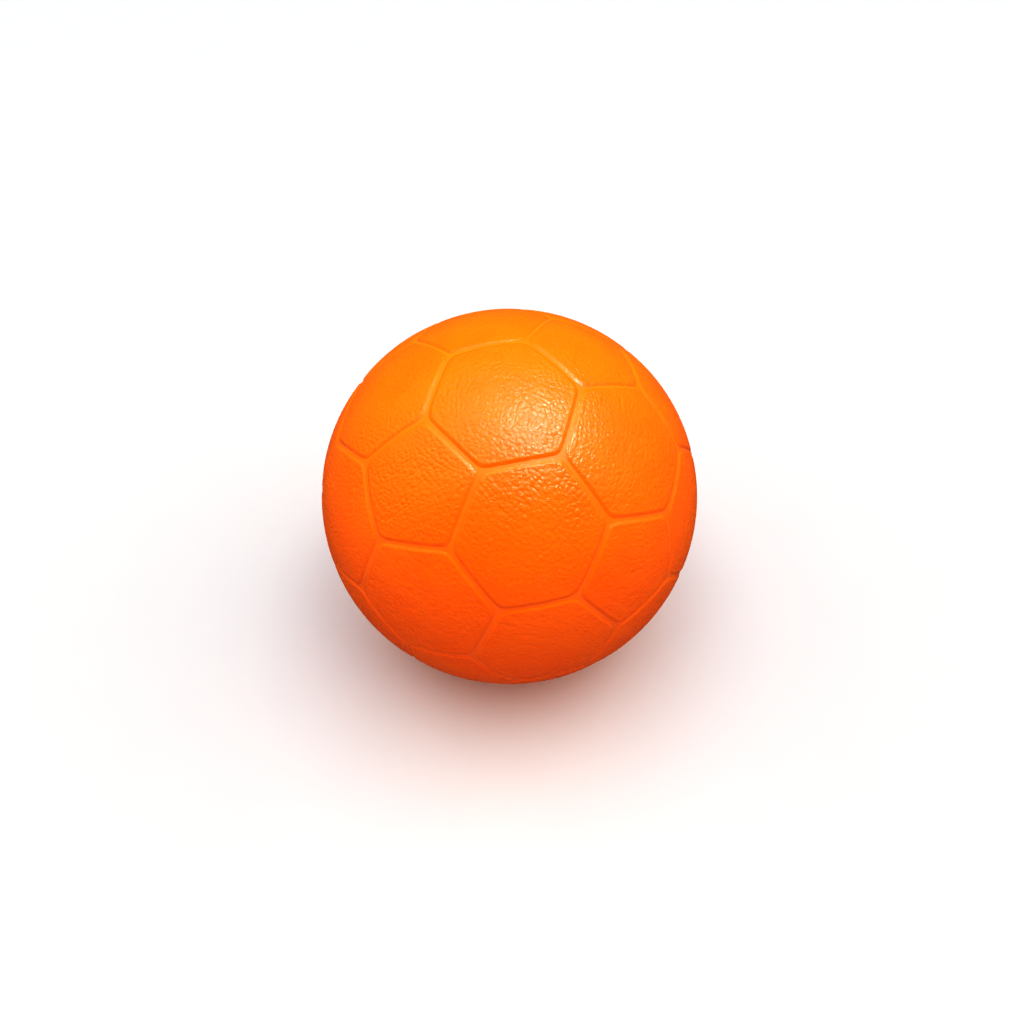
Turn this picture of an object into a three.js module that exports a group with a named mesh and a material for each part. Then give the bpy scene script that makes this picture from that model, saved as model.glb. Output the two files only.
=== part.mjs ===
// An inflatable panelled play ball, 150 mm across, in millimetres, +Z up, origin at its centre.
// Outside it has 42 moulded cover panels, 12 pentagons and 30 hexagons, glued side by side on a
// smooth rubber carcass that shows as the floor of the channels between them. Under the carcass are
// a wound thread layer and an airtight bladder, and a needle valve goes through one hexagon.

import * as THREE from 'three';

// Driving dimensions.
const BALL_RADIUS = 75; // to the crown of a panel
const PANEL_THICKNESS = 1.1;
const PANEL_CROWN = 0.1; // how far a panel's shoulder lies below its middle
const CHANNEL_WIDTH = 3.7; // from shoulder to shoulder
const CHANNEL_FLOOR_WIDTH = 0.6; // between two panels at the bottom
const WALL_BEND = { out: 0.5, down: 0.45 }; // out from the foot, down from the shoulder
const CORNER_SHARE = 0.09; // share of a side that rounds each corner
const INNER_RING_SHARE = 0.36; // of the way from a panel's middle to its edge
const OUTER_RING_SHARE = 0.7;
const GAP = 0.35; // between two layers
const CARCASS_THICKNESS = 0.8;
const WINDING_THICKNESS = 0.5;
const BLADDER_THICKNESS = 0.7;
const SHELL_SEGMENTS = 28; // around a shell, and half as many from pole to pole

// The seam pattern: the angle from a pentagon's middle to its corners, and how the ball lies.
const PENTAGON_REACH = 17.5;
const PATTERN_TURN = { x: 3.5, y: -36, z: 12.5 };

// The needle valve sits in the middle of the hexagon nearest to this direction.
const VALVE_TOWARDS = { east: 140, up: 20 };
const VALVE_HOLE_RADIUS = 5; // through the panel and the three shells
const VALVE_FACE_HEIGHT = BALL_RADIUS - 0.5; // distance of the valve's flat face from the centre
const VALVE_CLEARANCE = 0.3; // between the core and the housing
const BARREL_RADIUS = VALVE_HOLE_RADIUS - 0.4;
const BARREL_BEVEL = 0.3;
const BARREL_TAIL = 3; // the barrel's length below the flange's rim
const FLANGE_RADIUS = 11;
const FLANGE_THICKNESS = 0.8; // at its rim, and twice that at the barrel
const FLANGE_RIM_DROP = 1.65; // below the top of the bladder's inside, to follow its curve
const FLANGE_ROOT_DROP = 0.6;
const FLANGE_FILLET = 0.6;
const HEAD_RADIUS = 3;
const HEAD_THICKNESS = 0.9;
const HEAD_BEVEL = 0.15;
const STEM_RADIUS = 1.6;
const STEM_LENGTH = 13;
const NEEDLE_RADIUS = 0.7;
const LIP_LENGTH = 4;
const LIP_THICKNESS = 0.35;
const HOUSING_SEGMENTS = 24;
const CORE_SEGMENTS = 20;

const COVER_ORANGE = 0xff6a00;
const CARCASS_ORANGE = 0xf25c05;
const CORE_ORANGE = 0xd94f04;
const THREAD_WHITE = 0xe8e2d2;
const BUTYL_BLACK = 0x2b2b2b;

const radians = THREE.MathUtils.degToRad;

function direction(east, up) {
  const level = Math.cos(radians(up));
  return new THREE.Vector3(
    level * Math.sin(radians(east)),
    -level * Math.cos(radians(east)),
    Math.sin(radians(up)),
  );
}

function nearest(directions, target) {
  return directions.reduce((best, d) => (d.dot(target) > best.dot(target) ? d : best));
}

function material(color, roughness) {
  return new THREE.MeshStandardMaterial({ color, roughness, metalness: 0 });
}

// The twelve corners of an icosahedron, as unit directions.
function icosahedronCorners() {
  const golden = (1 + Math.sqrt(5)) / 2;
  const corners = [];
  for (const a of [-1, 1]) {
    for (const b of [-golden, golden]) {
      corners.push(new THREE.Vector3(0, a, b));
      corners.push(new THREE.Vector3(a, b, 0));
      corners.push(new THREE.Vector3(b, 0, a));
    }
  }
  return corners.map((corner) => corner.normalize());
}

function middle(...directions) {
  const sum = new THREE.Vector3();
  directions.forEach((d) => sum.add(d));
  return sum.normalize();
}

// The pattern: a pentagon on each corner of the icosahedron and a hexagon on each edge. Three
// hexagons meet over each face, and a pentagon and two hexagons meet at each other junction.
function seamPattern() {
  const corners = icosahedronCorners();
  const touching = (a, b) => a !== b && a.dot(b) > 0.4;
  const turn = new THREE.Euler(...['x', 'y', 'z'].map((axis) => radians(PATTERN_TURN[axis])));
  const panels = new Map();

  const addJunction = (place, owners) => {
    const junction = place.clone().applyEuler(turn);
    owners.forEach((owner) => panels.get(owner).junctions.push(junction));
  };

  corners.forEach((corner, i) => {
    panels.set(`p${i}`, { sides: 5, centre: corner.clone().applyEuler(turn), junctions: [] });
  });
  const edgeName = (i, j) => `h${Math.min(i, j)}_${Math.max(i, j)}`;
  for (let i = 0; i < 12; i += 1) {
    for (let j = i + 1; j < 12; j += 1) {
      if (!touching(corners[i], corners[j])) continue;
      const centre = middle(corners[i], corners[j]).applyEuler(turn);
      panels.set(edgeName(i, j), { sides: 6, centre, junctions: [] });
    }
  }
  for (let i = 0; i < 12; i += 1) {
    for (let j = i + 1; j < 12; j += 1) {
      for (let k = j + 1; k < 12; k += 1) {
        const [a, b, c] = [corners[i], corners[j], corners[k]];
        if (!touching(a, b) || !touching(b, c) || !touching(a, c)) continue;
        const face = middle(a, b, c);
        addJunction(face, [edgeName(i, j), edgeName(j, k), edgeName(i, k)]);
        for (const [own, p, q] of [[i, j, k], [j, i, k], [k, i, j]]) {
          const axis = corners[own].clone().cross(face).normalize();
          const place = corners[own].clone().applyAxisAngle(axis, radians(PENTAGON_REACH));
          addJunction(place, [`p${own}`, edgeName(own, p), edgeName(own, q)]);
        }
      }
    }
  }
  return [...panels.values()];
}

// A panel's junctions in turn around its centre, anticlockwise seen from outside.
function aroundCentre(panel) {
  const { centre, junctions } = panel;
  const first = junctions[0].clone().projectOnPlane(centre).normalize();
  const second = centre.clone().cross(first);
  const angle = (junction) => Math.atan2(junction.dot(second), junction.dot(first));
  return [...junctions].sort((a, b) => angle(a) - angle(b));
}

// The corner moved into the panel until both of its sides lie `inset` mm inside the seams.
function insetCorner(before, corner, after, inset) {
  const towards = (other) => other.clone().sub(corner).projectOnPlane(corner).normalize();
  const bisector = towards(before).add(towards(after)).normalize();
  const sine = bisector.clone().cross(towards(after)).length();
  return corner.clone().addScaledVector(bisector, inset / BALL_RADIUS / sine).normalize();
}

// The panel's outline `inset` mm inside its seams, three directions to a side.
function outline(corners, inset) {
  const count = corners.length;
  const moved = corners.map((corner, i) => {
    const before = corners[(i + count - 1) % count];
    return insetCorner(before, corner, corners[(i + 1) % count], inset);
  });
  const directions = [];
  moved.forEach((corner, i) => {
    const next = moved[(i + 1) % count];
    for (const share of [CORNER_SHARE, 0.5, 1 - CORNER_SHARE]) {
      directions.push(corner.clone().lerp(next, share).normalize());
    }
  });
  return directions;
}

// A closed loop or an axis-to-axis profile turned about Y, with each ring moved onto the panel:
// ring i of the lathe takes its directions from rings[i].around and its distance from the ball's
// centre from rings[i].radius.
function panelGeometry(rings) {
  const segments = rings[0].around.length;
  const profile = rings.map((ring) => new THREE.Vector2(ring.reach, ring.radius));
  const geometry = new THREE.LatheGeometry(profile, segments);
  const position = geometry.getAttribute('position');
  for (let column = 0; column <= segments; column += 1) {
    rings.forEach((ring, i) => {
      const place = ring.around[column % segments].clone().multiplyScalar(ring.radius);
      position.setXYZ(column * rings.length + i, place.x, place.y, place.z);
    });
  }
  return geometry;
}

// A panel's rings run from the middle of its underside out to the foot, up the wall to the
// shoulder, and back to the middle of its face. The panel with the valve starts and ends at the
// rim of its hole instead.
function coverPanel(panel, holeRadius) {
  const corners = aroundCentre(panel);
  const foot = outline(corners, CHANNEL_FLOOR_WIDTH / 2);
  const bend = outline(corners, CHANNEL_FLOOR_WIDTH / 2 + WALL_BEND.out);
  const shoulder = outline(corners, CHANNEL_WIDTH / 2);
  const underside = BALL_RADIUS - PANEL_THICKNESS;
  const shoulderRadius = BALL_RADIUS - PANEL_CROWN;
  const face = (share) => BALL_RADIUS - PANEL_CROWN * share ** 3;

  const between = (share) =>
    shoulder.map((d) => panel.centre.clone().lerp(d, share).normalize());
  const holeReach = holeRadius / BALL_RADIUS;
  const rim = shoulder.map((d) => {
    const outward = d.clone().projectOnPlane(panel.centre).normalize();
    return panel.centre.clone().addScaledVector(outward, holeReach).normalize();
  });
  const start = holeRadius > 0 ? rim : between(0);
  const inner = between(INNER_RING_SHARE);
  const outer = between(OUTER_RING_SHARE);

  const rings = [
    { around: start, reach: holeReach, radius: underside },
    { around: inner, reach: INNER_RING_SHARE, radius: underside },
    { around: outer, reach: OUTER_RING_SHARE, radius: underside },
    { around: foot, reach: 1, radius: underside },
    { around: bend, reach: 1, radius: shoulderRadius - WALL_BEND.down },
    { around: shoulder, reach: 1, radius: shoulderRadius },
    { around: outer, reach: OUTER_RING_SHARE, radius: face(OUTER_RING_SHARE) },
    { around: inner, reach: INNER_RING_SHARE, radius: face(INNER_RING_SHARE) },
    { around: start, reach: holeReach, radius: BALL_RADIUS },
  ];
  if (holeRadius > 0) rings.push(rings[0]);
  return new THREE.Mesh(panelGeometry(rings), material(COVER_ORANGE, 0.45));
}

// A hollow sphere with a round hole for the valve at its +Y pole.
function shell(outerRadius, thickness, color, roughness) {
  const steps = SHELL_SEGMENTS / 2;
  const arc = (radius) => {
    const start = Math.asin(VALVE_HOLE_RADIUS / radius);
    return Array.from({ length: steps + 1 }, (_, i) => {
      const polar = start + ((Math.PI - start) * i) / steps;
      const reach = i === steps ? 0 : radius * Math.sin(polar);
      return new THREE.Vector2(reach, radius * Math.cos(polar));
    });
  };
  const inner = arc(outerRadius - thickness);
  const outer = arc(outerRadius);
  const profile = [...outer.reverse(), ...inner];
  return new THREE.Mesh(
    new THREE.LatheGeometry(profile, SHELL_SEGMENTS),
    material(color, roughness),
  );
}

function turned(points, segments, color, roughness) {
  const profile = points.map(([reach, height]) => new THREE.Vector2(reach, height));
  return new THREE.Mesh(new THREE.LatheGeometry(profile, segments), material(color, roughness));
}

// The rubber barrel that lines the hole, with the flange that is bonded inside the bladder.
function valveHousing(bladderInside) {
  const bore = STEM_RADIUS + VALVE_CLEARANCE;
  const pocket = HEAD_RADIUS + VALVE_CLEARANCE;
  const seat = VALVE_FACE_HEIGHT - HEAD_THICKNESS - VALVE_CLEARANCE;
  const rimTop = bladderInside - FLANGE_RIM_DROP;
  const rootTop = bladderInside - FLANGE_ROOT_DROP;
  const tail = rimTop - BARREL_TAIL;
  const points = [
    [bore, tail],
    [BARREL_RADIUS, tail],
    [BARREL_RADIUS + FLANGE_FILLET, rimTop - 2 * FLANGE_THICKNESS],
    [FLANGE_RADIUS, rimTop - FLANGE_THICKNESS],
    [FLANGE_RADIUS, rimTop],
    [BARREL_RADIUS + FLANGE_FILLET, rootTop],
    [BARREL_RADIUS, rootTop + FLANGE_FILLET],
    [BARREL_RADIUS, VALVE_FACE_HEIGHT - BARREL_BEVEL],
    [BARREL_RADIUS - BARREL_BEVEL, VALVE_FACE_HEIGHT],
    [pocket, VALVE_FACE_HEIGHT],
    [pocket, seat],
    [bore, seat],
    [bore, tail],
  ];
  return turned(points, HOUSING_SEGMENTS, CARCASS_ORANGE, 0.6);
}

// The push-in core: a flat head, a stem, and the lips that close round the needle.
function valveCore() {
  const underHead = VALVE_FACE_HEIGHT - HEAD_THICKNESS;
  const lipTop = underHead - STEM_LENGTH;
  const lipEnd = lipTop - LIP_LENGTH;
  const points = [
    [NEEDLE_RADIUS, lipEnd],
    [NEEDLE_RADIUS + LIP_THICKNESS, lipEnd],
    [STEM_RADIUS, lipTop],
    [STEM_RADIUS, underHead],
    [HEAD_RADIUS, underHead],
    [HEAD_RADIUS, VALVE_FACE_HEIGHT - HEAD_BEVEL],
    [HEAD_RADIUS - HEAD_BEVEL, VALVE_FACE_HEIGHT],
    [NEEDLE_RADIUS, VALVE_FACE_HEIGHT],
    [NEEDLE_RADIUS, lipEnd],
  ];
  return turned(points, CORE_SEGMENTS, CORE_ORANGE, 0.55);
}

function named(mesh, name) {
  mesh.name = name;
  return mesh;
}

function buildBall() {
  const ball = new THREE.Group();
  const panels = seamPattern();
  const highestFirst = (a, b) => b.centre.z - a.centre.z;
  const hexagons = panels.filter((panel) => panel.sides === 6).sort(highestFirst);
  const pentagons = panels.filter((panel) => panel.sides === 5).sort(highestFirst);

  const towards = direction(VALVE_TOWARDS.east, VALVE_TOWARDS.up);
  const valveAxis = nearest(hexagons.map((panel) => panel.centre), towards);

  const twoDigits = (number) => String(number).padStart(2, '0');
  for (const [shape, list] of [['pentagon', pentagons], ['hexagon', hexagons]]) {
    list.forEach((panel, i) => {
      const holeRadius = panel.centre === valveAxis ? VALVE_HOLE_RADIUS : 0;
      ball.add(named(coverPanel(panel, holeRadius), `${shape}_panel_${twoDigits(i + 1)}`));
    });
  }

  const carcassRadius = BALL_RADIUS - PANEL_THICKNESS - GAP;
  const windingRadius = carcassRadius - CARCASS_THICKNESS - GAP;
  const bladderRadius = windingRadius - WINDING_THICKNESS - GAP;
  const layers = new THREE.Group();
  layers.quaternion.setFromUnitVectors(new THREE.Vector3(0, 1, 0), valveAxis);
  layers.add(named(shell(carcassRadius, CARCASS_THICKNESS, CARCASS_ORANGE, 0.5), 'rubber_carcass'));
  layers.add(named(shell(windingRadius, WINDING_THICKNESS, THREAD_WHITE, 0.9), 'thread_winding'));
  layers.add(named(shell(bladderRadius, BLADDER_THICKNESS, BUTYL_BLACK, 0.6), 'butyl_bladder'));
  layers.add(named(valveHousing(bladderRadius - BLADDER_THICKNESS), 'valve_housing'));
  layers.add(named(valveCore(), 'valve_core'));
  ball.add(layers);
  return ball;
}

export default buildBall();
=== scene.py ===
"""The looks of the panelled play ball: grained cover panels with rolled edges on a smooth carcass,
the layers under it, and the needle valve. Everything is in metres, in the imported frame."""

import math

import bpy
import numpy as np
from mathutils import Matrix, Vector


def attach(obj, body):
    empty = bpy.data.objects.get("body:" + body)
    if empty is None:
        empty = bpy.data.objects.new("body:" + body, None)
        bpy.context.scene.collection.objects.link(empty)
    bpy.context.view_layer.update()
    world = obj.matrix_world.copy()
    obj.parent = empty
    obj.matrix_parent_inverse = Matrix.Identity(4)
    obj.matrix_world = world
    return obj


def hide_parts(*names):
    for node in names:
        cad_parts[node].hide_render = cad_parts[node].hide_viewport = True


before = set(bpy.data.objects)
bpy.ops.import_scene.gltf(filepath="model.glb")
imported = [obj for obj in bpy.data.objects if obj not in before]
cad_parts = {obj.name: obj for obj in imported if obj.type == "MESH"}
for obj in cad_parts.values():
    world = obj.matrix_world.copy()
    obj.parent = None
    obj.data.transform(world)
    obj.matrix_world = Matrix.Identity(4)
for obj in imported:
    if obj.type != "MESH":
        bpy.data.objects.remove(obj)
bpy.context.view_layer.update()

BODY = "root"
MM = 0.001

# The channel between two panels, seen across: shoulder, S-shaped wall, narrow floor.
SHOULDER_INSET = 1.85 * MM  # from the seam line to a panel's shoulder, as in the CAD
FOOT_INSET = 0.12 * MM  # from the seam line to where the wall meets the carcass
CHANNEL_DEPTH = 0.48 * MM  # from the shoulder to the carcass
BEDDING = 0.06 * MM  # from the carcass down to a panel's foot, and on to its underside
CORNER_BLEND = 0.9 * MM  # how far two sides blend into each other at a corner

PANEL_ROWS = 56  # rows of faces from a panel's middle to its shoulder
WALL_ROWS = 8
UNDERSIDE_STEP = 8  # the underside has one row for this many rows on top
SHELL_COLUMNS = 160
VALVE_COLUMNS = 64

# The panel with the valve has rows round its hole.
HOLED_ROWS = 48
HOLED_UNDERSIDE_ROWS = 8
HOLE_EDGE_ROWS = 7
HOLE_FADE_ROWS = 4  # rows over which the grain sets in
HOLE_ROUNDING = 0.5 * MM

# The leather grain: rounded cells between creases, with longer wrinkles across them, fading out
# on the rounded edge of the panel.
GRAIN_CELL = 1.6 * MM
GRAIN_DEPTH = 0.21 * MM
WRINKLE_DEPTH = 0.09 * MM
GRAIN_SWELL = 0.03 * MM  # slow ups and downs under the cells
GRAIN_FADE = (-0.9 * MM, 0.6 * MM)  # from no grain to full grain, measured from the shoulder
CREASE_WIDTH = 0.4  # in cells
CREASE_SHARE = 0.55  # of the grain's depth
DOME_SHARE = 0.5
LEAST_STRENGTH = 0.55  # the grain varies from this share of its depth
STRENGTH_SPAN = 0.9  # up to this much more
WRINKLE_WIDTH = 0.09  # as a difference from the middle of the wrinkles' noise
PATCH_CONTRAST = 2.2  # how sharply a wrinkled patch ends
PATCH_THRESHOLD = 0.7  # how strong its noise, times the contrast, is where wrinkles set in

# The noises in the grain: how many steps each one takes over a cell, and where in the panel's
# table of random values it starts, so that no two run alike.
DRIFT_RATE = 0.45
DRIFT_START = 9.3
SWELL_RATE = 0.3
STRENGTH_RATE = 0.22
STRENGTH_START = 5.1
WRINKLE_RATE = (0.16, 0.75)
WRINKLE_START = 3.7
PATCH_RATE = 0.12
PATCH_START = 7.9
TABLE_SIZE = 64
FIRST_SEED = 1000
START_SPAN = 40  # cells
STRETCHES = (1.0, 1.5)

# The valve's details, over the sizes that come from the CAD.
HOUSING_ROUNDING = 0.4 * MM
CORE_ROUNDING = 0.2 * MM
FLANGE_FILLET = 0.6 * MM
MOUTH_WIDTH = 0.75 * MM  # from the pocket to the housing's flat face
LEDGE_WIDTH = 0.45 * MM
LEDGE_DROP = 0.2 * MM
HEAD_RIM = 0.6 * MM
DISH_WIDTH = 0.9 * MM  # from the needle's bore to where the head's dish gets steeper
DISH_DROPS = (0.25 * MM, 0.45 * MM)
STEM_RIBS = 4
GROOVE_SPAN = (0.35, 0.65)  # each groove's part of the length that it shares with a rib
GROOVE_DEPTH = 0.25 * MM

# How the CAD's vertices are told apart.
DECIMALS = 7  # of a metre
SHOULDER_LEVEL = 2  # the shoulder's place among a panel's rings, after the underside and the bend
POINTS_ON_SIDE = 3  # of a panel's shoulder
LEVEL_STEP = 0.04 * MM  # two rings of vertices are at least this far apart
CROWN_MARGIN = 0.003 * MM
SHOULDER_MARGIN = 0.02 * MM
CLOSE_MARGIN = 0.05 * MM
LOOSE_MARGIN = 0.1 * MM
TOP_BAND = 0.5 * MM  # the barrel's radius is read this near its face
INNER_CLEARANCE = 0.5 * MM  # middle radii are this far from a valve piece's narrower one
OUTER_CLEARANCE = 1 * MM  # and this far from its widest one

# The camera looks down at the ball's centre from close by.
CAMERA_ELEVATION = 50.0
CAMERA_DISTANCE = 3.8  # in ball radii, from the ball's centre
BALL_SHARE = 0.367  # the ball's apparent width as a share of the picture
SENSOR_WIDTH = 36.0
FRAME_SHIFT = (0.0026, -0.0153)
CLIPPING = (0.01, 50)

# Each soft light: degrees round from the front, degrees up, width in degrees, level, colour, and
# what it lights: everything, the ball without its gloss, or only its gloss. A level of 1 makes a
# white surface that faces the light white, and the lights on everything add up to a white floor.
WARM = (1.04, 1.0, 0.84)
COOL = (0.98, 1.03, 1.14)
SUNNY = (0.90, 1.30, 0.60)
GLOW = (1.0, 0.10, 0.0)
LILAC = (1.0, 0.80, 1.25)
LIGHTS = [
    ("overhead_softbox", 0, 90, 60, 0.6, COOL, "all"),
    ("right_softbox", 90, 50, 60, 0.35, WARM, "all"),
    ("left_softbox", -90, 50, 60, 0.25, WARM, "all"),
    ("back_fill", 180, 70, 60, 1.1, SUNNY, "ball"),
    ("front_glow", 0, 12, 70, 0.3, GLOW, "ball"),
    ("glint", 85, 74, 16, 1.3, LILAC, "gloss"),
]

# The surround is dim as a light and in the ball's gloss, and pale to the camera.
SURROUND_LIGHT = 0.05
SURROUND_IN_GLOSS = 0.08
SURROUND_IN_VIEW = 0.9
DISPLAY_GAMMA = 0.7

FLOOR_REACH = 60  # in ball radii
LAMP_REACH = 8  # in ball radii


# ---------------------------------------------------------------- reading the frame

WIDEST_ANGLE = 0.8  # no panel reaches as far from its middle
HALVINGS = 24


def node_points(node):
    """The CAD node's vertices, each one once."""
    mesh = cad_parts[node].data
    flat = np.empty(len(mesh.vertices) * 3)
    mesh.vertices.foreach_get("co", flat)
    return np.unique(flat.reshape(-1, 3).round(DECIMALS), axis=0)


def unit(vectors):
    return vectors / np.linalg.norm(vectors, axis=-1, keepdims=True)


def ring_levels(points):
    """The distances from the ball's centre at which a CAD panel has rings of vertices."""
    radii = np.linalg.norm(points, axis=1)
    levels = []
    for radius in sorted(radii):
        if not levels or radius - levels[-1] > LEVEL_STEP:
            levels.append(radius)
    return levels, radii


def axes_across(axis):
    """Two unit vectors square to an axis and to each other."""
    helper = np.eye(3)[np.argmin(np.abs(axis))]
    first = unit(np.cross(axis, helper))
    return first, np.cross(axis, first)


class Panel:
    """A cover panel as the CAD node gives it: its middle, its sides, its radii, and how wide the
    hole through its middle is, which is zero where the crown is a single point."""

    def __init__(self, node):
        points = node_points(node)
        levels, radii = ring_levels(points)
        self.node = node
        self.shoulder = levels[SHOULDER_LEVEL]
        self.crown = radii.max()
        self.floor = self.shoulder - CHANNEL_DEPTH
        self.foot = self.floor - BEDDING
        self.underside = self.foot - BEDDING
        top = points[radii > self.crown - CROWN_MARGIN]
        self.centre = unit(top.mean(axis=0))
        self.hole = np.linalg.norm(np.cross(top[0], self.centre))
        self.first, self.second = axes_across(self.centre)
        self.read_sides(points[np.abs(radii - self.shoulder) < SHOULDER_MARGIN])

    def angle_of(self, directions):
        return np.arctan2(directions @ self.second, directions @ self.first)

    def read_sides(self, ring):
        """Each side has a few of the ring's points, and the shortest steps cut the corners."""
        ring = ring[np.argsort(self.angle_of(ring))]
        count = len(ring) // POINTS_ON_SIDE
        steps = np.linalg.norm(np.roll(ring, -1, axis=0) - ring, axis=1)
        cuts = np.sort(np.argsort(steps)[:count])
        starts = (cuts + 1) % len(ring)
        ends = (cuts + POINTS_ON_SIDE) % len(ring)
        normals = unit(np.cross(ring[starts], ring[ends]))
        self.normals = normals * np.sign(normals @ self.centre)[:, None]
        corners = unit(np.cross(np.roll(self.normals, 1, axis=0), self.normals))
        self.corners = corners * np.sign(corners @ self.centre)[:, None]

    def inside(self, directions):
        """Distance from the nearest seam line, with the corners rounded."""
        sines = np.clip(directions @ self.normals.T, -1, 1)
        distances = self.crown * np.arcsin(sines) + SHOULDER_INSET
        nearest = distances.min(axis=1, keepdims=True)
        spread = np.exp((nearest - distances) / CORNER_BLEND).sum(axis=1)
        return nearest[:, 0] - CORNER_BLEND * np.log(spread)

    def columns(self, count):
        """Unit tangents at the middle, towards `count` evenly spread points on each side."""
        share = np.arange(count)[:, None] / count
        nexts = np.roll(self.corners, -1, axis=0)
        sides = [a * (1 - share) + b * share for a, b in zip(self.corners, nexts)]
        spots = np.concatenate(sides)
        return unit(spots - (spots @ self.centre)[:, None] * self.centre)

    def polar_at(self, tangents, inset):
        """How far from the middle, as an angle, each tangent reaches the given inset."""
        low = np.zeros(len(tangents))
        high = np.full(len(tangents), WIDEST_ANGLE)
        for _ in range(HALVINGS):
            polar = (low + high) / 2
            outside = self.inside(self.directions(tangents, polar)) < inset
            high = np.where(outside, polar, high)
            low = np.where(outside, low, polar)
        return low

    def directions(self, tangents, polar):
        return np.cos(polar)[:, None] * self.centre + np.sin(polar)[:, None] * tangents


# ---------------------------------------------------------------- mesh helpers


def make_mesh(name, points, faces, material):
    mesh = bpy.data.meshes.new(name)
    mesh.from_pydata(points.tolist(), [], faces.tolist())
    mesh.materials.append(material)
    mesh.polygons.foreach_set("use_smooth", [True] * len(mesh.polygons))
    mesh.update()
    piece = bpy.data.objects.new(name, mesh)
    bpy.context.scene.collection.objects.link(piece)
    return piece


def strip(lower, upper):
    """Triangles between two closed rings with the same number of vertices."""
    lower_next, upper_next = np.roll(lower, -1), np.roll(upper, -1)
    first = np.stack([lower, upper, upper_next], axis=1)
    second = np.stack([lower, upper_next, lower_next], axis=1)
    return np.concatenate([first, second])


def wedge(inner, outer, sides):
    """Triangles between two rings of a panel where each side gains vertices outwards. i and j
    walk along the inner and the outer ring, and the one that lags behind takes the next step."""
    faces = []
    fine = len(outer) // sides
    coarse = len(inner) // sides
    for side in range(sides):
        i, j = side * coarse, side * fine
        last_i, last_j = i + coarse, j + fine
        while i < last_i or j < last_j:
            step_out = coarse == 0 or (j - side * fine) * coarse <= (i - side * coarse) * fine
            a = inner[i % len(inner)]
            if step_out and j < last_j:
                faces.append((a, outer[j % len(outer)], outer[(j + 1) % len(outer)]))
                j += 1
            else:
                faces.append((a, outer[j % len(outer)], inner[(i + 1) % len(inner)]))
                i += 1
    return np.array(faces)


def smoothstep(x):
    x = np.clip(x, 0, 1)
    return x * x * (3 - 2 * x)


# ---------------------------------------------------------------- leather grain


class Grain:
    """A panel's grain as a depth below its face. Each panel has its own direction and stretch."""

    def __init__(self, number):
        draw = np.random.default_rng(FIRST_SEED + number)
        self.offset = draw.uniform(0, START_SPAN, 2)
        self.turn = draw.uniform(0, math.pi)
        self.stretch = draw.uniform(*STRETCHES)
        self.table = draw.random((TABLE_SIZE, TABLE_SIZE, 3))

    def values(self, cell):
        """The three random values of each cell."""
        return self.table[cell[:, 0] % TABLE_SIZE, cell[:, 1] % TABLE_SIZE]

    def smooth_noise(self, places, channel):
        """Values from 0 to 1 that change smoothly over one unit."""
        cell = np.floor(places).astype(int)
        share = smoothstep(places - cell)
        corner = [self.values(cell + (i, j))[:, channel] for i in (0, 1) for j in (0, 1)]
        left = corner[0] * (1 - share[:, 1]) + corner[1] * share[:, 1]
        right = corner[2] * (1 - share[:, 1]) + corner[3] * share[:, 1]
        return left * (1 - share[:, 0]) + right * share[:, 0]

    def cells(self, places):
        """Distances to the nearest and the second nearest of scattered points."""
        cell = np.floor(places).astype(int)
        distances = []
        for i in (-1, 0, 1):
            for j in (-1, 0, 1):
                near = cell + (i, j)
                spot = near + self.values(near)[:, :2]
                distances.append(np.linalg.norm(places - spot, axis=1))
        distances = np.sort(np.stack(distances), axis=0)
        return distances[0], distances[1]

    def depth(self, spots):
        """Depth in metres at flat coordinates on the panel."""
        turn = np.array([[math.cos(self.turn), -math.sin(self.turn)],
                         [math.sin(self.turn), math.cos(self.turn)]])
        places = spots @ turn / GRAIN_CELL
        places = places * (self.stretch**-0.5, self.stretch**0.5) + self.offset
        slow = places * DRIFT_RATE
        drift = [self.smooth_noise(slow, 0), self.smooth_noise(slow + DRIFT_START, 1)]
        places = places + (np.stack(drift, axis=1) - 0.5)

        nearest, second = self.cells(places)
        crease = 1 - smoothstep((second - nearest) / CREASE_WIDTH)
        dome = np.clip(nearest, 0, 1) ** 2
        swell = self.smooth_noise(places * SWELL_RATE, 2)
        uneven = self.smooth_noise(places * STRENGTH_RATE + STRENGTH_START, 2)
        strength = LEAST_STRENGTH + STRENGTH_SPAN * uneven

        line = np.abs(self.smooth_noise(places * WRINKLE_RATE + WRINKLE_START, 1) - 0.5)
        wrinkle = 1 - smoothstep(line / WRINKLE_WIDTH)
        patch = self.smooth_noise(places * PATCH_RATE + PATCH_START, 0)
        wrinkled = smoothstep(patch * PATCH_CONTRAST - PATCH_THRESHOLD)
        return (GRAIN_DEPTH * strength * (CREASE_SHARE * crease + DOME_SHARE * dome)
                + WRINKLE_DEPTH * wrinkle * wrinkled + GRAIN_SWELL * swell)


# ---------------------------------------------------------------- cover panels


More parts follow.
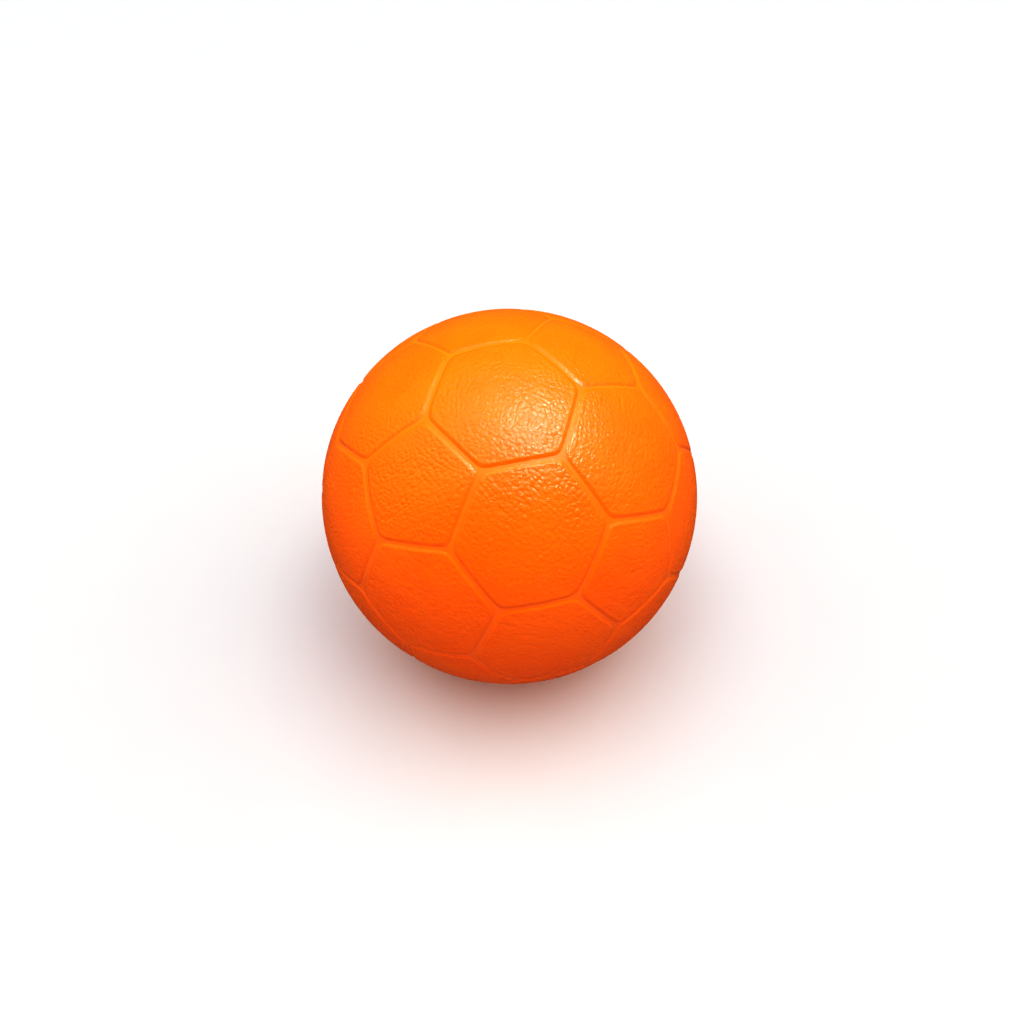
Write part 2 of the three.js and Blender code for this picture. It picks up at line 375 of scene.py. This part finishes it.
class Rings:
    """Rings of points on a panel, and the faces between them."""

    def __init__(self, panel):
        self.panel = panel
        self.points = []
        self.faces = []
        self.count = 0

    def add(self, tangents, polar, radius):
        ring = self.panel.directions(tangents, polar)
        self.points.append(ring * np.broadcast_to(radius, len(polar))[:, None])
        self.count += len(polar)
        return np.arange(self.count - len(polar), self.count)

    def fan(self, rows, radius_of, outwards):
        """Rings from the panel's middle to its shoulder, each with its share of columns."""
        sides = len(self.panel.normals)
        tangents = [self.panel.columns(row) if row else self.panel.columns(1)[:1] for row in rows]
        sizes = [len(ring) for ring in tangents]
        tangents = np.concatenate(tangents)
        share = np.repeat(np.array(rows) / PANEL_ROWS, sizes)
        polar = share * self.panel.polar_at(tangents, SHOULDER_INSET)
        numbers = self.add(tangents, polar, radius_of(tangents, polar, share))
        rings = np.split(numbers, np.cumsum(sizes)[:-1])
        for inner, outer in zip(rings, rings[1:]):
            faces = wedge(inner, outer, sides)
            self.faces.append(faces if outwards else faces[:, ::-1])
        return rings[-1]

    def wall(self, ring):
        """The S-shaped wall from the shoulder down to the foot."""
        panel = self.panel
        tangents = panel.columns(PANEL_ROWS)
        top = np.linalg.norm(self.points[-1][-len(tangents):], axis=1)
        for row in range(1, WALL_ROWS + 1):
            down = row / WALL_ROWS
            inset = SHOULDER_INSET + (FOOT_INSET - SHOULDER_INSET) * down
            radius = panel.foot + (top - panel.foot) * smoothstep(1 - down)
            lower = self.add(tangents, panel.polar_at(tangents, inset), radius)
            self.faces.append(strip(ring, lower))
            ring = lower
        return ring

    def piece(self, material):
        return make_mesh("cover_" + self.panel.node, np.concatenate(self.points),
                         np.concatenate(self.faces), material)


def face_radius(panel, grain):
    """The crowned and grained face, as distances from the ball's centre."""
    rise = panel.crown - panel.shoulder

    def radius_of(tangents, polar, share):
        directions = panel.directions(tangents, polar)
        flat = np.stack([directions @ panel.first, directions @ panel.second], axis=1)
        edge = panel.inside(directions) - SHOULDER_INSET
        fade = smoothstep((edge - GRAIN_FADE[0]) / (GRAIN_FADE[1] - GRAIN_FADE[0]))
        return panel.crown - rise * share**3 - fade * grain.depth(flat * panel.crown)

    return radius_of


def solid_panel(panel, grain, material):
    """A panel as a closed body: its face, its walls and its underside."""
    rings = Rings(panel)
    shoulder = rings.fan(range(PANEL_ROWS + 1), face_radius(panel, grain), True)
    foot = rings.wall(shoulder)
    under_rows = range(0, PANEL_ROWS + 1, UNDERSIDE_STEP)
    under = rings.fan(under_rows, lambda tangents, polar, share: panel.underside, False)
    rings.faces.append(strip(foot, under))
    return rings.piece(material)


def holed_panel(panel, grain, material):
    """The panel with the valve: rings round the hole through its middle, from the hole over the
    face and down the wall, and back along the underside and up the hole's edge."""
    rings = Rings(panel)
    tangents = panel.columns(PANEL_ROWS)
    edge = panel.polar_at(tangents, SHOULDER_INSET)

    def all_round(reach, radius):
        """One polar angle for every tangent: that of a circle round the panel's middle."""
        return np.full(len(tangents), math.asin(reach / radius))

    face = []
    start = (panel.hole + HOLE_ROUNDING) / panel.crown
    radius_of = face_radius(panel, grain)
    for row in range(HOLED_ROWS):
        polar = start + (edge - start) * row / HOLED_ROWS
        fade = smoothstep(row / HOLE_FADE_ROWS)
        grained = radius_of(tangents, polar, polar / edge)
        face.append(rings.add(tangents, polar, panel.crown + (grained - panel.crown) * fade))
    face.append(rings.add(tangents, edge, radius_of(tangents, edge, 1.0)))

    underside = [rings.wall(face[-1])]
    foot_polar = panel.polar_at(tangents, FOOT_INSET)
    hole_polar = all_round(panel.hole, panel.underside)
    for row in range(1, HOLED_UNDERSIDE_ROWS + 1):
        polar = foot_polar + (hole_polar - foot_polar) * row / HOLED_UNDERSIDE_ROWS
        underside.append(rings.add(tangents, polar, panel.underside))

    hole_edge = underside[-1:]
    for row in range(1, HOLE_EDGE_ROWS):
        angle = math.pi / 2 * row / HOLE_EDGE_ROWS
        reach = panel.hole + HOLE_ROUNDING * (1 - math.cos(angle))
        radius = panel.crown - HOLE_ROUNDING * (1 - math.sin(angle))
        hole_edge.append(rings.add(tangents, all_round(reach, radius), radius))
    hole_edge.append(face[0])

    for chain in (face, underside, hole_edge):
        rings.faces.extend(strip(a, b) for a, b in zip(chain, chain[1:]))
    return rings.piece(material)


# ---------------------------------------------------------------- shells and valve


def turned_piece(name, profile, axis, columns, material):
    """A closed (reach, height) profile turned round an axis through the ball's centre."""
    first, second = axes_across(axis)
    angles = 2 * math.pi * np.arange(columns) / columns
    across = np.cos(angles)[:, None] * first + np.sin(angles)[:, None] * second
    points, rings = [], []
    for reach, height in profile:
        ring = axis * height + across * reach if reach else axis[None] * height
        rings.append(sum(len(p) for p in points) + np.arange(len(ring)))
        points.append(ring)
    faces = []
    for lower, upper in zip(rings, rings[1:] + rings[:1]):
        if len(lower) == len(upper) == 1:
            continue
        if len(lower) == len(upper):
            faces.append(strip(lower, upper))
        elif len(lower) == 1:
            apex = np.repeat(lower, columns)
            faces.append(np.stack([apex, upper, np.roll(upper, -1)], axis=1))
        else:
            apex = np.repeat(upper, columns)
            faces.append(np.stack([lower, apex, np.roll(lower, -1)], axis=1))
    return make_mesh(name, np.concatenate(points), np.concatenate(faces), material)


def shell_piece(name, node, material, axis, hole, outer=None):
    """A smooth hollow sphere with the CAD shell's radii and the hole for the valve."""
    radii = np.linalg.norm(node_points(node), axis=1)
    inner = radii.min()
    outer = outer or radii.max()
    rows = SHELL_COLUMNS // 2

    def arc(radius):
        start = math.asin(hole / radius)
        angles = [start + (math.pi - start) * i / rows for i in range(rows)]
        return [(radius * math.sin(a), radius * math.cos(a)) for a in angles] + [(0, -radius)]

    piece = turned_piece(name, arc(outer)[::-1] + arc(inner), axis, SHELL_COLUMNS, material)
    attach(piece, BODY)
    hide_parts(node)
    return piece


MOST_OF_SIDE = 0.45  # a corner's curve takes at most this share of a side
CURVE_POINTS = 5


def rounded(profile, rounding):
    """A closed profile with each corner replaced by a short curve."""
    corners = np.array(profile)
    smooth = []
    for before, corner, after in zip(np.roll(corners, 1, 0), corners, np.roll(corners, -1, 0)):
        start, end = (
            corner + (other - corner) * min(rounding / np.linalg.norm(other - corner), MOST_OF_SIDE)
            for other in (before, after)
        )
        for t in np.linspace(0, 1, CURVE_POINTS):
            spot = (1 - t) ** 2 * start + 2 * t * (1 - t) * corner + t * t * end
            smooth.append(tuple(spot))
    return smooth


def valve_points(node, axis):
    """The node's points as distances from the axis and heights along it."""
    points = node_points(node)
    heights = points @ axis
    reaches = np.linalg.norm(points - heights[:, None] * axis, axis=1)
    return reaches, heights


def valve_housing(axis, material):
    """The moulded barrel with its pocket for the core and its flange inside the bladder."""
    reaches, heights = valve_points("valve_housing", axis)
    face, tail = heights.max(), heights.min()
    bore, flange = reaches.min(), reaches.max()
    barrel = reaches[heights > face - TOP_BAND].max()
    pocket = reaches[heights > face - CLOSE_MARGIN].min()
    seat = heights[(reaches > pocket - LOOSE_MARGIN) & (reaches < pocket + LOOSE_MARGIN)].min()
    rim = heights[reaches > flange - LOOSE_MARGIN]
    root = heights[(reaches > barrel + INNER_CLEARANCE) & (reaches < flange - OUTER_CLEARANCE)]
    profile = [
        (bore, tail), (barrel, tail), (barrel + FLANGE_FILLET, root.min()), (flange, rim.min()),
        (flange, rim.max()), (barrel + FLANGE_FILLET, root.max()),
        (barrel, root.max() + FLANGE_FILLET), (barrel, face), (pocket + MOUTH_WIDTH, face),
        (pocket + LEDGE_WIDTH, face - LEDGE_DROP), (pocket, face - LEDGE_DROP), (pocket, seat),
        (bore, seat),
    ]
    outline = rounded(profile, HOUSING_ROUNDING)
    return turned_piece("housing", outline, axis, VALVE_COLUMNS, material)


def valve_core(axis, material):
    """The push-in core: a dished head round the needle bore, a ribbed stem and the lips."""
    reaches, heights = valve_points("valve_core", axis)
    face, end = heights.max(), heights.min()
    needle, head = reaches.min(), reaches.max()
    under_head = heights[reaches > head - CLOSE_MARGIN].min()
    on_stem = (reaches < head - OUTER_CLEARANCE) & (reaches > needle + INNER_CLEARANCE)
    stem = reaches[on_stem].max()
    groove = stem - GROOVE_DEPTH
    lip_top = heights[on_stem & (reaches > stem - CLOSE_MARGIN)].min()
    lip = reaches[heights < end + LOOSE_MARGIN].max()
    profile = [(needle, end), (lip, end), (stem, lip_top)]
    length = under_head - lip_top
    for rib in range(STEM_RIBS):
        low, high = (lip_top + length * (rib + share) / STEM_RIBS for share in GROOVE_SPAN)
        profile += [(stem, low), (groove, low), (groove, high), (stem, high)]
    profile += [
        (stem, under_head), (head, under_head), (head, face), (head - HEAD_RIM, face),
        (needle + DISH_WIDTH, face - DISH_DROPS[0]), (needle, face - DISH_DROPS[1]),
    ]
    return turned_piece("core", rounded(profile, CORE_ROUNDING), axis, VALVE_COLUMNS, material)


# ---------------------------------------------------------------- materials

COVER_ORANGES = (1.0, 0.165, 0.002, 1), (1.0, 0.185, 0.003, 1)
# The cover's colour down in its pores: painted shade, a little darker than the panels' orange.
PAINTED_PORE_SHADE = (0.97, 0.15, 0.001, 1)
CARCASS_ORANGES = (1.0, 0.175, 0.002, 1), (1.0, 0.195, 0.003, 1)
THREAD_CREAMS = (0.62, 0.58, 0.47, 1), (0.86, 0.83, 0.74, 1)
BUTYL_BLACKS = (0.012, 0.012, 0.013, 1), (0.03, 0.03, 0.032, 1)
HOUSING_ORANGES = (0.95, 0.17, 0.004, 1), (0.85, 0.14, 0.003, 1)
CORE_ORANGES = (0.8, 0.11, 0.003, 1), (0.7, 0.09, 0.002, 1)
FLOOR_WHITES = (0.90, 0.90, 0.90, 1), (0.92, 0.92, 0.92, 1)
FLOOR_ROUGHNESS = 0.9
SOFT_GLOSS = {"Specular_IOR_Level": 0.35, "Specular_Tint": (1.0, 0.88, 0.65, 1)}

COMMON_NOISE = (0.3, 0.7)  # where nearly all of a noise's values lie
COLOUR_INPUTS = (6, 7)  # of a Mix node
COLOUR_OUTPUT = 2


class Nodes:
    """Short names for the few node set-ups that every material here uses. A scale says how often
    a pattern repeats in a metre."""

    def __init__(self, name):
        self.material = bpy.data.materials.new(name)
        self.material.use_nodes = True
        self.tree = self.material.node_tree
        self.shader = self.tree.nodes["Principled BSDF"]
        self.place = self.add("ShaderNodeTexCoord").outputs["Object"]

    def add(self, kind, **settings):
        node = self.tree.nodes.new(kind)
        for key, value in settings.items():
            setattr(node, key, value)
        return node

    def link(self, source, target):
        self.tree.links.new(source, target)

    def value(self, target, source):
        """Sets a socket from another socket or from a plain value."""
        if isinstance(source, bpy.types.NodeSocket):
            self.link(source, target)
        else:
            target.default_value = source

    def noise(self, scale, detail=2.0, roughness=0.5):
        node = self.add("ShaderNodeTexNoise")
        node.inputs["Scale"].default_value = scale
        node.inputs["Detail"].default_value = detail
        node.inputs["Roughness"].default_value = roughness
        self.link(self.place, node.inputs["Vector"])
        return node.outputs["Fac"]

    def mottle(self, scale, low, high, detail=2.0):
        """A noise that wanders between low and high."""
        return self.span(self.noise(scale, detail), *COMMON_NOISE, low, high)

    def cell_edges(self, scale, place):
        """How far a place is from the edges of scattered cells."""
        node = self.add("ShaderNodeTexVoronoi", feature="DISTANCE_TO_EDGE")
        node.inputs["Scale"].default_value = scale
        self.link(place, node.inputs["Vector"])
        return node.outputs["Distance"]

    def math(self, operation, a, b):
        node = self.add("ShaderNodeMath", operation=operation)
        self.value(node.inputs[0], a)
        self.value(node.inputs[1], b)
        return node.outputs[0]

    def span(self, source, low, high, to_low, to_high):
        """Maps low..high to to_low..to_high, easing in and out."""
        node = self.add("ShaderNodeMapRange", interpolation_type="SMOOTHSTEP")
        self.link(source, node.inputs["Value"])
        for key, value in zip(("From Min", "From Max", "To Min", "To Max"),
                              (low, high, to_low, to_high)):
            node.inputs[key].default_value = value
        return node.outputs["Result"]

    def warped(self, scale, amount):
        """The place, pushed about by a coloured noise of the given scale."""
        node = self.add("ShaderNodeTexNoise")
        node.inputs["Scale"].default_value = scale
        self.link(self.place, node.inputs["Vector"])
        centred = self.add("ShaderNodeVectorMath", operation="SUBTRACT")
        self.link(node.outputs["Color"], centred.inputs[0])
        centred.inputs[1].default_value = (0.5, 0.5, 0.5)
        scaled = self.add("ShaderNodeVectorMath", operation="SCALE")
        self.link(centred.outputs[0], scaled.inputs[0])
        scaled.inputs["Scale"].default_value = amount
        moved = self.add("ShaderNodeVectorMath", operation="ADD")
        self.link(self.place, moved.inputs[0])
        self.link(scaled.outputs[0], moved.inputs[1])
        return moved.outputs[0]

    def mix(self, share, first, second):
        node = self.add("ShaderNodeMix", data_type="RGBA")
        self.value(node.inputs["Factor"], share)
        for place, color in zip(COLOUR_INPUTS, (first, second)):
            self.value(node.inputs[place], color)
        return node.outputs[COLOUR_OUTPUT]

    def bump(self, height, distance, strength=1.0):
        node = self.add("ShaderNodeBump")
        node.inputs["Strength"].default_value = strength
        node.inputs["Distance"].default_value = distance
        self.link(height, node.inputs["Height"])
        return node.outputs["Normal"]

    def finish(self, color, roughness, normal=None, **sockets):
        self.value(self.shader.inputs["Base Color"], color)
        self.value(self.shader.inputs["Roughness"], roughness)
        if normal:
            self.link(normal, self.shader.inputs["Normal"])
        for key, value in sockets.items():
            self.shader.inputs[key.replace("_", " ")].default_value = value
        return self.material


def cover_material():
    """Orange synthetic leather: fine pores over the modelled grain, satin finish, with painted
    shade in the pores.
    """
    n = Nodes("grained_orange_cover")
    pores = n.cell_edges(1000, n.warped(400, 0.8 * MM))
    rise = n.math("MULTIPLY", n.span(pores, 0.0, 0.25, 0.0, 1.0), 0.6)
    height = n.math("ADD", rise, n.noise(1800, 3.0, 0.6))
    normal = n.bump(height, 0.08 * MM, 0.8)
    body = n.mix(n.mottle(40, 0.0, 1.0, 3.0), *COVER_ORANGES)
    # Painted shade: the colour goes a little darker down in the pores, where the bump has its
    # hollows.
    painted_pore_shade = n.math("MULTIPLY", n.span(pores, 0.0, 0.1, 1.0, 0.0), 0.15)
    color = n.mix(painted_pore_shade, body, PAINTED_PORE_SHADE)
    return n.finish(color, n.mottle(300, 0.18, 0.26), normal, **SOFT_GLOSS)


def carcass_material():
    """Smooth orange rubber, a little less glossy than the panels."""
    n = Nodes("smooth_orange_rubber")
    color = n.mix(n.mottle(60, 0.0, 1.0, 3.0), *CARCASS_ORANGES)
    normal = n.bump(n.noise(700), 0.04 * MM, 0.5)
    return n.finish(color, n.mottle(200, 0.32, 0.40), normal, **SOFT_GLOSS)


def winding_material():
    """Off-white thread wound side by side, set in latex."""
    n = Nodes("wound_thread")
    wave = n.add("ShaderNodeTexWave", wave_type="BANDS", bands_direction="DIAGONAL")
    wave.inputs["Scale"].default_value = 480
    wave.inputs["Distortion"].default_value = 6
    n.link(n.place, wave.inputs["Vector"])
    color = n.mix(wave.outputs["Fac"], *THREAD_CREAMS)
    return n.finish(color, n.mottle(300, 0.75, 0.9), n.bump(wave.outputs["Fac"], 0.2 * MM))


def bladder_material():
    """Black butyl rubber with a faint mottle."""
    n = Nodes("black_butyl")
    color = n.mix(n.noise(90, 3.0), *BUTYL_BLACKS)
    return n.finish(color, n.mottle(250, 0.45, 0.62), n.bump(n.noise(800), 0.05 * MM, 0.5))


def valve_material(name, light, dark):
    """Moulded valve rubber with a fine matt texture."""
    n = Nodes(name)
    color = n.mix(n.noise(500, 3.0), light, dark)
    return n.finish(color, n.mottle(900, 0.5, 0.62), n.bump(n.noise(2500), 0.03 * MM, 0.5))


# ---------------------------------------------------------------- stage


def white_floor(ball_radius):
    """A pale floor that the ball rests on. It doesn't show in the ball's gloss."""
    mesh = bpy.data.meshes.new("floor")
    half = FLOOR_REACH * ball_radius
    corners = [(-half, -half, 0), (half, -half, 0), (half, half, 0), (-half, half, 0)]
    mesh.from_pydata(corners, [], [(0, 1, 2, 3)])
    floor = bpy.data.objects.new("floor", mesh)
    floor.location.z = -ball_radius
    floor.visible_glossy = False
    bpy.context.scene.collection.objects.link(floor)
    n = Nodes("white_floor")
    mesh.materials.append(n.finish(n.mix(n.noise(30), *FLOOR_WHITES), FLOOR_ROUGHNESS))


def direction(azimuth, elevation):
    """The unit vector at so many degrees round from the front and up."""
    turn, rise = math.radians(azimuth), math.radians(elevation)
    reach = math.cos(rise)
    return Vector((reach * math.sin(turn), -reach * math.cos(turn), math.sin(rise)))


def back_along(away):
    """The rotation of a lamp or a camera that looks back along a direction."""
    return (-away).to_track_quat("-Z", "Y").to_euler()


def soft_lights(ball_radius, pieces):
    ball = bpy.data.collections.new("lit_ball")
    for piece in pieces:
        ball.objects.link(piece)
    for name, azimuth, elevation, spread, level, color, lit in LIGHTS:
        light = bpy.data.lights.new(name, "SUN")
        light.angle = math.radians(spread)
        light.energy = level * math.pi
        light.color = color
        lamp = bpy.data.objects.new(name, light)
        away = direction(azimuth, elevation)
        lamp.location = away * LAMP_REACH * ball_radius
        lamp.rotation_euler = back_along(away)
        lamp.visible_diffuse = lit != "gloss"
        lamp.visible_glossy = lit != "ball"
        if lit != "all":
            lamp.light_linking.receiver_collection = ball
        bpy.context.scene.collection.objects.link(lamp)


def pale_surround():
    """A white world at one level as a light, at another in gloss, and at a third to the camera."""
    world = bpy.data.worlds.new("surround")
    world.use_nodes = True
    tree = world.node_tree
    path = tree.nodes.new("ShaderNodeLightPath")
    level = None
    for ray, seen in (("Is Glossy Ray", SURROUND_IN_GLOSS), ("Is Camera Ray", SURROUND_IN_VIEW)):
        added = tree.nodes.new("ShaderNodeMath")
        added.operation = "MULTIPLY_ADD"
        tree.links.new(path.outputs[ray], added.inputs[0])
        added.inputs[1].default_value = seen - SURROUND_LIGHT
        added.inputs[2].default_value = SURROUND_LIGHT
        if level:
            tree.links.new(level, added.inputs[2])
        level = added.outputs[0]
    background = tree.nodes["Background"]
    background.inputs["Color"].default_value = (1, 1, 1, 1)
    tree.links.new(level, background.inputs["Strength"])
    bpy.context.scene.world = world


def plain_display():
    view = bpy.context.scene.view_settings
    view.view_transform = "Standard"
    view.gamma = DISPLAY_GAMMA


def camera(ball_radius):
    """Looks at the ball's centre from the front and above."""
    data = bpy.data.cameras.new("camera")
    data.sensor_width = SENSOR_WIDTH
    data.lens = SENSOR_WIDTH * BALL_SHARE / 2 * math.sqrt(CAMERA_DISTANCE**2 - 1)
    data.shift_x, data.shift_y = FRAME_SHIFT
    data.clip_start, data.clip_end = CLIPPING
    eye = bpy.data.objects.new("camera", data)
    away = direction(0, CAMERA_ELEVATION)
    eye.location = away * CAMERA_DISTANCE * ball_radius
    eye.rotation_euler = back_along(away)
    bpy.context.scene.collection.objects.link(eye)
    bpy.context.scene.camera = eye


# ---------------------------------------------------------------- the ball


def build_ball():
    """Builds every piece, and returns the ball's radius and the pieces."""
    panels = [Panel(node) for node in sorted(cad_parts) if "_panel_" in node]
    with_valve = max(panels, key=lambda panel: panel.hole)
    cover = cover_material()
    pieces = []
    for number, panel in enumerate(panels):
        build = holed_panel if panel is with_valve else solid_panel
        piece = build(panel, Grain(number), cover)
        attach(piece, BODY)
        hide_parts(panel.node)
        pieces.append(piece)

    axis = with_valve.centre
    hole = with_valve.hole
    carcass = shell_piece("carcass", "rubber_carcass", carcass_material(), axis, hole,
                          with_valve.floor)
    winding = shell_piece("winding", "thread_winding", winding_material(), axis, hole)
    bladder = shell_piece("bladder", "butyl_bladder", bladder_material(), axis, hole)

    housing_look = valve_material("valve_rubber", *HOUSING_ORANGES)
    core_look = valve_material("valve_core_rubber", *CORE_ORANGES)
    for build, node, slot, look in (
        (valve_housing, "valve_housing", "valve_rubber", housing_look),
        (valve_core, "valve_core", "valve_core_rubber", core_look),
    ):
        piece = build(axis, look)
        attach(piece, BODY)
        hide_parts(node)
        pieces.append(piece)
    return with_valve.crown, pieces + [carcass, winding, bladder]


radius, pieces = build_ball()
camera(radius)
white_floor(radius)
soft_lights(radius, pieces)
pale_surround()
plain_display()
